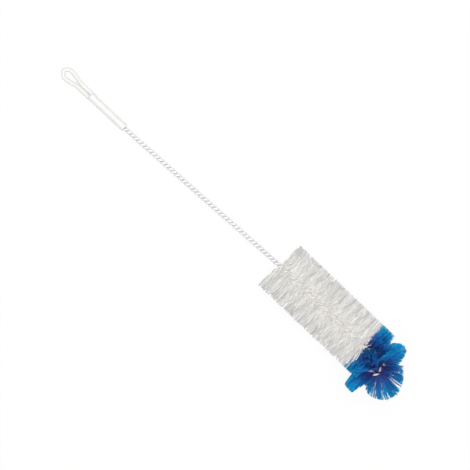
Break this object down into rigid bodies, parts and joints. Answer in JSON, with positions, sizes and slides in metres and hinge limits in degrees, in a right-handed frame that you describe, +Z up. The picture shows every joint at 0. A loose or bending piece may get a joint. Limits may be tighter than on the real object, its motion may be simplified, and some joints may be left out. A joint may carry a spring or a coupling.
{
  "type": "bottle brush",
  "caption": "Bottle brush of twisted wire with a covered hanging loop, a short handle sleeve, white bristles along the head and a blue tuft over its hooked tip.",
  "frame": {"origin": "on the surface that the brush lies on, under the middle of its bounding box", "axes": "+X along the brush from its hanging loop to its hooked tip, +Z up; the hook bends towards -Y"},
  "size_m": [0.4016, 0.064, 0.0591],
  "materials": {
    "wire": "galvanised wire, bright drawn",
    "soft_vinyl": "soft vinyl, satin",
    "white_bristle": "clear white nylon filament",
    "blue_bristle": "blue nylon filament"
  },
  "bodies": {
    "root": {"core_wire": "wire", "loop_cover": "soft_vinyl", "handle_sleeve": "soft_vinyl", "white_row_01": "white_bristle", "white_row_02": "white_bristle", "white_row_03": "white_bristle", "white_row_04": "white_bristle", "white_row_05": "white_bristle", "white_row_06": "white_bristle", "white_row_07": "white_bristle", "white_row_08": "white_bristle", "white_row_09": "white_bristle", "white_row_10": "white_bristle", "white_row_11": "white_bristle", "white_row_12": "white_bristle", "collar_row_01": "blue_bristle", "collar_row_02": "blue_bristle", "fan_row_01": "blue_bristle", "fan_row_02": "blue_bristle", "fan_row_03": "blue_bristle"}
  },
  "joints": []
}
